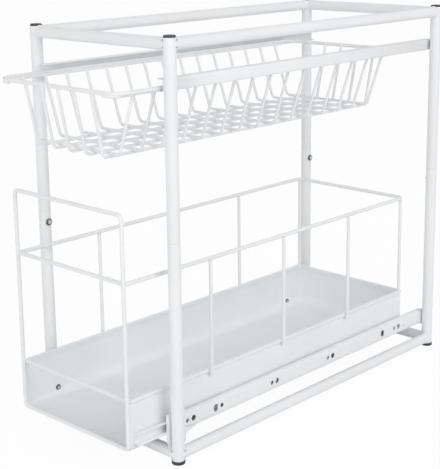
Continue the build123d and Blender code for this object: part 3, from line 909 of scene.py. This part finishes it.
def makeFrontBracket(side):
    # a plate with its lip across the front, and a strut whose underside is a quarter of an ellipse:
    # the curve's points are tip - strut * cos a along Y and slide + strutDrop * (sin a - 1) along Z
    node = f"slide_bracket_front_{side}"
    values = bracketLook
    low, high, outer, _ = sideBox(node, side)
    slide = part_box(f"slide_outer_{side}")[0].z
    c, front, rear = values["corner"], low.y + values["sheet"], low.y + values["width"]
    tip, lipLow = rear + values["strut"], slide - values["lipDrop"]
    a = np.linspace(0, math.pi / 2, values["strutSteps"] + 1)
    curve = np.stack([tip - values["strut"] * np.cos(a), slide + values["strutDrop"] * (np.sin(a) - 1)], -1)
    outline = [(low.y, lipLow), (low.y, low.z), (rear, low.z), *curve.tolist(),
               (tip, slide + values["tipRise"]), (rear, slide + values["foldRise"]),
               *arc((rear - c, high.z - c), c, 0, 90), (front, high.z), (front, lipLow)]
    lipInner = outer - sideSigns[side] * values["lip"]
    makeBracket(node, outline, (outer, lipInner), (lipLow, high.z), (low.y, front))


for side in sideSigns:
    makeFrontBracket(side)
    makeRearBracket(side)
print("brackets ready")


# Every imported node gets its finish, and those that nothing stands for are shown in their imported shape

slots = {row["node"]: row["material_slot"] for row in frame["record"]["subparts"]}
for name, thing in frame["nodes"].items():
    thing.data.materials.clear()
    thing.data.materials.append(finishes[slots[name]])


# Camera, from the photograph's framing

cameraLook = {
    "place": (0.81782, -0.88244, 0.50200),
    "right": (0.72689, 0.68664, -0.01208),
    "up": (-0.14546, 0.17113, 0.97444),
    "focal": 1162.46,          # pixels
    "frame": (440, 469),       # pixels
    "middle": (219.3, 183.2),  # where the view axis meets the picture
    "sensor": 36.0,            # millimetres
    "clip": (0.05, 30.0),
}


def makeCamera():
    # lens and shift from pixels, as shares of the frame's height
    values = cameraLook
    width, height = values["frame"]
    data = bpy.data.cameras.new("photoCamera")
    data.sensor_width = values["sensor"]
    data.lens = values["sensor"] * values["focal"] / height
    data.shift_x = (width / 2 - values["middle"][0]) / height
    data.shift_y = (values["middle"][1] - height / 2) / height
    data.clip_start, data.clip_end = values["clip"]
    camera = bpy.data.objects.new("photoCamera", data)
    bpy.context.scene.collection.objects.link(camera)
    right = Vector(values["right"]).normalized()
    up = Vector(values["up"])
    up = (up - right * up.dot(right)).normalized()
    turn = Matrix((right, up, right.cross(up))).transposed()
    camera.matrix_world = Matrix.Translation(values["place"]) @ turn.to_4x4()
    bpy.context.scene.camera = camera


makeCamera()


# Floor, world and lamps

stageLook = {"floorSize": 14.0, "floorColour": (0.9, 0.9, 0.9), "floorRoughness": 0.9, "floorGlow": 0.96,
             "white": (1.0, 1.0, 1.0, 1.0), "worldLevel": 0.56, "lampSize": 1.6, "target": (0, 0, 0.2),
             "lamps": {"keyLamp": ((2.0, 0.1, 1.5), 18.0), "fillLamp": ((0.4, -2.4, 0.5), 18.0)}}  # place, W


def seenRays(tree):
    # 1 on the rays that the camera or a shiny surface sends, else 0
    path = addNode(tree, "ShaderNodeLightPath")
    seen = addNode(tree, "ShaderNodeMath", operation="MAXIMUM")
    tree.links.new(path.outputs["Is Camera Ray"], seen.inputs[0])
    tree.links.new(path.outputs["Is Glossy Ray"], seen.inputs[1])
    return seen.outputs[0]


def blendInto(tree, share, first, second, output):
    # the first shader where the share is 0, the second where it is 1
    blend = addNode(tree, "ShaderNodeMixShader")
    for i, source in enumerate((share, first.outputs[0], second.outputs[0])):
        tree.links.new(source, blend.inputs[i])
    tree.links.new(blend.outputs[0], output.inputs["Surface"])


def makeFloor():
    # lit as a pale floor that takes the shadow, and all but white by itself where it is seen
    half = stageLook["floorSize"] / 2
    corners = [(-half, -half, 0), (half, -half, 0), (half, half, 0), (-half, half, 0)]
    mesh = bpy.data.meshes.new("floor")
    mesh.from_pydata(corners, [], [(0, 1, 2, 3)])
    floor = bpy.data.objects.new("floor", mesh)
    bpy.context.scene.collection.objects.link(floor)
    material, tree, shader = newMaterial("paleFloor", stageLook["floorColour"], stageLook["floorRoughness"])
    shader.inputs["Specular IOR Level"].default_value = 0.0
    glow = addNode(tree, "ShaderNodeEmission", Color=stageLook["white"], Strength=1.0)
    share = addNode(tree, "ShaderNodeMath", operation="MULTIPLY")
    share.inputs[1].default_value = stageLook["floorGlow"]
    tree.links.new(seenRays(tree), share.inputs[0])
    blendInto(tree, share.outputs[0], shader, glow, tree.nodes["Material Output"])
    mesh.materials.append(material)


def makeWorld():
    # white where it is seen, softer as a light
    world = bpy.data.worlds.new("paleRoom")
    world.use_nodes = True
    tree = world.node_tree
    tree.nodes.clear()
    soft = addNode(tree, "ShaderNodeBackground", Color=stageLook["white"], Strength=stageLook["worldLevel"])
    white = addNode(tree, "ShaderNodeBackground", Color=stageLook["white"], Strength=1.0)
    blendInto(tree, seenRays(tree), soft, white, addNode(tree, "ShaderNodeOutputWorld"))
    bpy.context.scene.world = world


def makeLamp(name, place, power):
    data = bpy.data.lights.new(name, "AREA")
    data.shape = "SQUARE"
    data.size = stageLook["lampSize"]
    data.energy = power
    lamp = bpy.data.objects.new(name, data)
    lamp.location = place
    lamp.rotation_mode = "QUATERNION"
    lamp.rotation_quaternion = (Vector(stageLook["target"]) - Vector(place)).to_track_quat("-Z", "Y")
    bpy.context.scene.collection.objects.link(lamp)


makeFloor()
makeWorld()
for name, (place, power) in stageLook["lamps"].items():
    makeLamp(name, place, power)
bpy.context.scene.view_settings.view_transform = "Standard"
print("stage ready")
